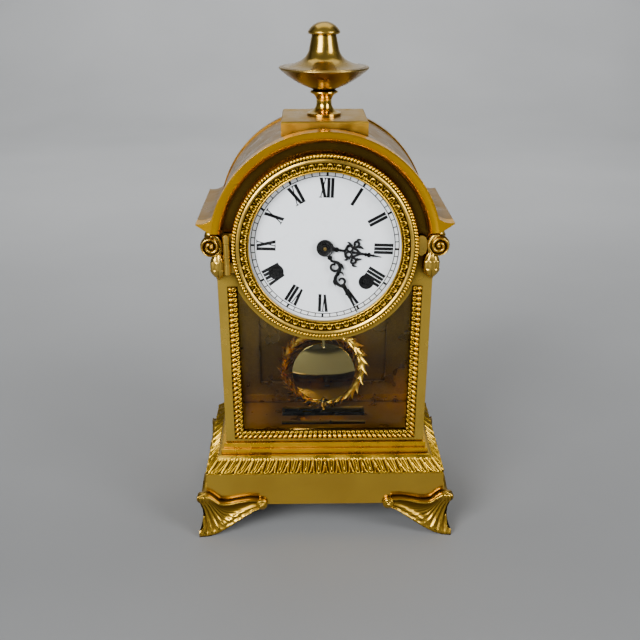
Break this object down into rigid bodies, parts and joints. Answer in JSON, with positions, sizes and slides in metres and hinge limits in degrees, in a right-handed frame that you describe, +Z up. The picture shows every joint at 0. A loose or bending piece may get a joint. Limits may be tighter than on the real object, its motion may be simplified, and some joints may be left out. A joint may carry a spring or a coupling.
{
  "type": "mantel clock",
  "caption": "Arched brass mantel clock with a domed glass bezel, white Roman dial, glazed case showing a pendulum, urn finial, leaf moulding and scrolled feet.",
  "frame": {"origin": "on the surface that the clock stands on, under the centre of its four feet", "axes": "+Z up, the dial faces -Y, +X to the viewer's right"},
  "size_m": [0.1652, 0.1112, 0.3058],
  "materials": {
    "polished_brass": "polished gilt brass",
    "cast_gilt_brass": "cast gilt brass, satin with darker hollows",
    "movement_brass": "brushed lacquered brass",
    "bell_metal": "turned bell metal",
    "clear_glass": "clear polished glass",
    "white_dial": "smooth white enamel",
    "black_hands": "satin black",
    "steel": "turned steel"
  },
  "bodies": {
    "case": {"base_acanthus_moulding": "cast_gilt_brass", "base_bottom_plate": "polished_brass", "base_fascia": "polished_brass", "base_rail": "polished_brass", "bell_stand": "movement_brass", "bezel_hinge_bracket": "polished_brass", "case_floor_plate": "polished_brass", "corner_capitals": "cast_gilt_brass", "cornice_moulding": "polished_brass", "dial": "white_dial", "finial_bowl": "polished_brass", "finial_lid": "polished_brass", "finial_rod_and_nut": "steel", "finial_stem": "polished_brass", "foot_front_left": "cast_gilt_brass", "foot_front_right": "cast_gilt_brass", "foot_rear_left": "cast_gilt_brass", "foot_rear_right": "cast_gilt_brass", "foot_screws": "steel", "front_bead_border": "cast_gilt_brass", "front_glass": "clear_glass", "front_wall": "polished_brass", "movement_back_plate": "movement_brass", "movement_drum": "movement_brass", "movement_front_plate": "movement_brass", "movement_pillars": "steel", "pendulum_cock": "movement_brass", "rear_door_hinges": "polished_brass", "rear_wall": "polished_brass", "rear_wreath": "cast_gilt_brass", "roof_plinth_block": "polished_brass", "roof_vault": "polished_brass", "side_glasses": "clear_glass", "side_wall_left": "polished_brass", "side_wall_right": "polished_brass", "strike_bell": "bell_metal"},
    "bezel": {"bezel_rim": "polished_brass", "bezel_rope_ring": "cast_gilt_brass", "bezel_egg_dart_ring": "cast_gilt_brass", "bezel_glass": "clear_glass"},
    "rear_door": {"rear_door": "polished_brass"},
    "rear_door_knob": {"rear_door_knob": "polished_brass"},
    "centre_arbor": {"centre_arbor": "movement_brass", "minute_hand": "black_hands", "hand_nut": "steel"},
    "hour_hand": {"hour_wheel": "movement_brass", "hour_hand": "black_hands"},
    "minute_wheel": {"minute_wheel": "movement_brass"},
    "second_wheel": {"second_wheel": "movement_brass"},
    "going_barrel": {"going_barrel": "movement_brass"},
    "third_wheel": {"third_wheel": "movement_brass"},
    "escape_wheel": {"escape_wheel": "movement_brass"},
    "strike_barrel": {"strike_barrel": "movement_brass"},
    "going_winding_arbor": {"going_winding_arbor": "steel"},
    "strike_winding_arbor": {"strike_winding_arbor": "steel"},
    "pendulum": {"pendulum_rod": "polished_brass", "pendulum_bob": "polished_brass", "rating_nut": "polished_brass"},
    "anchor": {"anchor_and_crutch": "steel"},
    "strike_hammer": {"strike_hammer": "steel"}
  },
  "joints": [
    {"name": "bezel_hinge", "type": "hinge", "parent": "case", "child": "bezel", "pos_m": [-0.0565, -0.042, 0.186], "axis": [0, 0, -1], "range_deg": [0, 105]},
    {"name": "rear_door_hinge", "type": "hinge", "parent": "case", "child": "rear_door", "pos_m": [0.0505, 0.0388, 0.13], "axis": [0, 0, -1], "range_deg": [0, 105]},
    {"name": "rear_knob_turn", "type": "hinge", "parent": "rear_door", "child": "rear_door_knob", "pos_m": [-0.04, 0.036, 0.15], "axis": [0, 1, 0], "range_deg": [0, 90]},
    {"name": "minute_hand_turn", "type": "hinge", "parent": "case", "child": "centre_arbor", "pos_m": [0, -0.015, 0.1882], "axis": [0, 1, 0], "continuous": true},
    {"name": "hour_hand_turn", "type": "hinge", "parent": "case", "child": "hour_hand", "pos_m": [0, -0.015, 0.1882], "axis": [0, 1, 0], "continuous": true},
    {"name": "minute_wheel_turn", "type": "hinge", "parent": "case", "child": "minute_wheel", "pos_m": [0.00707, -0.015, 0.19527], "axis": [0, 1, 0], "continuous": true},
    {"name": "second_wheel_turn", "type": "hinge", "parent": "case", "child": "second_wheel", "pos_m": [-0.01583, -0.015, 0.18392], "axis": [0, 1, 0], "continuous": true},
    {"name": "going_barrel_turn", "type": "hinge", "parent": "case", "child": "going_barrel", "pos_m": [-0.02869, -0.015, 0.17358], "axis": [0, 1, 0], "continuous": true},
    {"name": "third_wheel_turn", "type": "hinge", "parent": "case", "child": "third_wheel", "pos_m": [-0.00855, -0.015, 0.20301], "axis": [0, 1, 0], "continuous": true},
    {"name": "escape_wheel_turn", "type": "hinge", "parent": "case", "child": "escape_wheel", "pos_m": [0, -0.015, 0.2146], "axis": [0, 1, 0], "continuous": true},
    {"name": "strike_barrel_turn", "type": "hinge", "parent": "case", "child": "strike_barrel", "pos_m": [0.02441, -0.015, 0.1672], "axis": [0, 1, 0], "continuous": true},
    {"name": "going_winding", "type": "hinge", "parent": "case", "child": "going_winding_arbor", "pos_m": [-0.02869, -0.015, 0.17358], "axis": [0, 1, 0], "continuous": true},
    {"name": "strike_winding", "type": "hinge", "parent": "case", "child": "strike_winding_arbor", "pos_m": [0.02441, -0.015, 0.1672], "axis": [0, 1, 0], "continuous": true},
    {"name": "pendulum_swing", "type": "hinge", "parent": "case", "child": "pendulum", "pos_m": [0, 0.008, 0.2256], "axis": [0, 1, 0], "range_deg": [-4, 4]},
    {"name": "anchor_rock", "type": "hinge", "parent": "case", "child": "anchor", "pos_m": [0, -0.012, 0.2256], "axis": [0, 1, 0], "range_deg": [-4, 4]},
    {"name": "hammer_lift", "type": "hinge", "parent": "case", "child": "strike_hammer", "pos_m": [-0.0285, 0.014, 0.168], "axis": [0, -1, 0], "range_deg": [0, 20], "stiffness_Nm_per_rad": 0.02}
  ],
  "couplings": [
    {"joint": "hour_hand_turn", "follows": "minute_hand_turn", "ratio": 0.083333},
    {"joint": "minute_wheel_turn", "follows": "minute_hand_turn", "ratio": -0.33333},
    {"joint": "second_wheel_turn", "follows": "minute_hand_turn", "ratio": -0.28125},
    {"joint": "going_barrel_turn", "follows": "minute_hand_turn", "ratio": 0.09},
    {"joint": "third_wheel_turn", "follows": "minute_hand_turn", "ratio": -5.3333},
    {"joint": "escape_wheel_turn", "follows": "minute_hand_turn", "ratio": 26.667},
    {"joint": "anchor_rock", "follows": "pendulum_swing", "ratio": 1}
  ]
}
